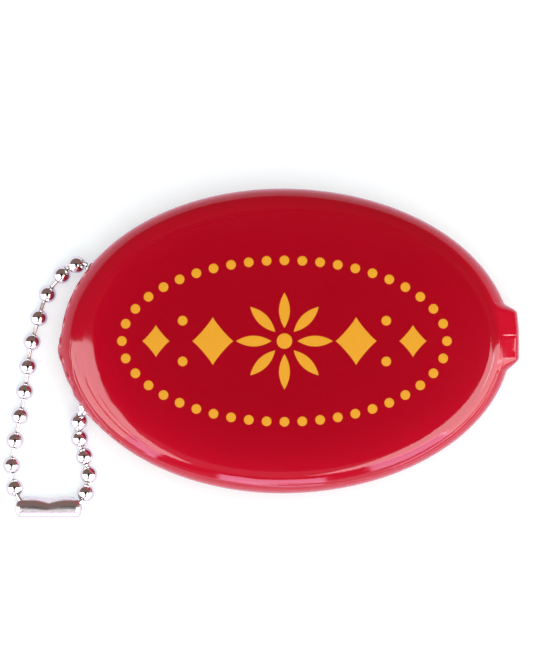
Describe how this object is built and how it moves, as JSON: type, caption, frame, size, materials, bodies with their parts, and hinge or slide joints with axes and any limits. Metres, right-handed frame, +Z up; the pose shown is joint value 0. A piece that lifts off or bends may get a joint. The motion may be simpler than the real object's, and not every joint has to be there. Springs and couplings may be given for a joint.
{
  "type": "coin pouch",
  "caption": "Oval squeeze coin pouch moulded in soft vinyl, with a slit mouth between two lips on its flat back and a closed bead chain through its side wall.",
  "frame": {"origin": "middle of the whole object's box, on the surface that the pouch lies on", "axes": "+X along the pouch towards the nub, away from the chain; +Y across it; +Z up, out of its plain face; the slit mouth faces -Z"},
  "size_m": [0.0921, 0.0588, 0.0135],
  "materials": {
    "vinyl": "soft red PVC with a glossy moulded skin",
    "ball_nickel": "bright nickel plate on stamped balls",
    "link_wire": "bright nickel plate on headed wire",
    "connector_nickel": "bright nickel plate on rolled sheet"
  },
  "bodies": {
    "pouch": {"pouch_shell": "vinyl", "chain_ball_13": "ball_nickel", "chain_ball_14": "ball_nickel", "chain_ball_15": "ball_nickel", "chain_ball_16": "ball_nickel", "chain_ball_17": "ball_nickel", "chain_ball_18": "ball_nickel", "chain_ball_19": "ball_nickel", "chain_ball_20": "ball_nickel", "chain_link_13": "link_wire", "chain_link_14": "link_wire", "chain_link_15": "link_wire", "chain_link_16": "link_wire", "chain_link_17": "link_wire", "chain_link_18": "link_wire", "chain_link_19": "link_wire"},
    "upper_lip": {"upper_lip": "vinyl"},
    "lower_lip": {"lower_lip": "vinyl"},
    "chain_part_1": {"chain_link_12": "link_wire", "chain_ball_12": "ball_nickel", "chain_link_20": "link_wire", "chain_ball_21": "ball_nickel"},
    "chain_part_2": {"chain_link_11": "link_wire", "chain_ball_11": "ball_nickel", "chain_link_10": "link_wire", "chain_ball_10": "ball_nickel", "chain_link_21": "link_wire", "chain_ball_22": "ball_nickel"},
    "chain_part_3": {"chain_link_09": "link_wire", "chain_ball_09": "ball_nickel", "chain_link_08": "link_wire", "chain_ball_08": "ball_nickel", "chain_link_22": "link_wire", "chain_ball_23": "ball_nickel"},
    "chain_part_4": {"chain_link_07": "link_wire", "chain_ball_07": "ball_nickel", "chain_link_06": "link_wire", "chain_ball_06": "ball_nickel", "chain_link_23": "link_wire", "chain_ball_24": "ball_nickel"},
    "chain_part_5": {"chain_link_05": "link_wire", "chain_ball_05": "ball_nickel", "chain_link_04": "link_wire", "chain_ball_04": "ball_nickel", "chain_link_24": "link_wire", "chain_ball_25": "ball_nickel"},
    "chain_part_6": {"chain_link_03": "link_wire", "chain_ball_03": "ball_nickel", "chain_link_02": "link_wire", "chain_ball_02": "ball_nickel", "chain_link_25": "link_wire"},
    "chain_part_7": {"chain_link_01": "link_wire", "chain_ball_01": "ball_nickel", "chain_ball_26": "ball_nickel"},
    "connector": {"chain_connector": "connector_nickel"}
  },
  "joints": [
    {"name": "upper_lip_flex", "type": "hinge", "parent": "pouch", "child": "upper_lip", "pos_m": [0.00575, 0.01881, 0], "axis": [1, 0, 0], "range_deg": [0, 40], "stiffness_Nm_per_rad": 0.05},
    {"name": "lower_lip_flex", "type": "hinge", "parent": "pouch", "child": "lower_lip", "pos_m": [0.00575, -0.01419, 0], "axis": [-1, 0, 0], "range_deg": [0, 40], "stiffness_Nm_per_rad": 0.05},
    {"name": "chain_lift", "type": "hinge", "parent": "pouch", "child": "chain_part_1", "pos_m": [-0.03071, 0.01594, 0.00466], "axis": [0.0495, 0.9987, 0.0148], "range_deg": [-8, 15]},
    {"name": "chain_fold_2", "type": "hinge", "parent": "chain_part_1", "child": "chain_part_2", "pos_m": [-0.03398, 0.01566, 0.00309], "axis": [-0.0518, 0.9984, 0.023], "range_deg": [-15, 15]},
    {"name": "chain_fold_3", "type": "hinge", "parent": "chain_part_2", "child": "chain_part_3", "pos_m": [-0.03875, 0.00945, 0.00146], "axis": [-0.2491, 0.9685, -0.0058], "range_deg": [-15, 15]},
    {"name": "chain_fold_4", "type": "hinge", "parent": "chain_part_3", "child": "chain_part_4", "pos_m": [-0.04116, 0.00078, 0.00157], "axis": [-0.4462, 0.8949, -0.0025], "range_deg": [-15, 15]},
    {"name": "chain_fold_5", "type": "hinge", "parent": "chain_part_4", "child": "chain_part_5", "pos_m": [-0.04237, -0.0081, 0.0016], "axis": [-0.6224, 0.7827, 0.0014], "range_deg": [-15, 15]},
    {"name": "chain_fold_6", "type": "hinge", "parent": "chain_part_5", "child": "chain_part_6", "pos_m": [-0.0441, -0.01689, 0.00161], "axis": [-0.7978, 0.6029, -0.0024], "range_deg": [-15, 15]},
    {"name": "chain_fold_7", "type": "hinge", "parent": "chain_part_6", "child": "chain_part_7", "pos_m": [-0.04346, -0.0253, 0.00165], "axis": [-0.9902, 0.1395, -0.0083], "range_deg": [-15, 15]},
    {"name": "connector_roll", "type": "hinge", "parent": "chain_part_7", "child": "connector", "pos_m": [-0.04187, -0.02749, 0.00191], "axis": [1, 0, 0], "range_deg": [-15, 15]}
  ],
  "couplings": [
    {"joint": "lower_lip_flex", "follows": "upper_lip_flex", "ratio": 1}
  ]
}
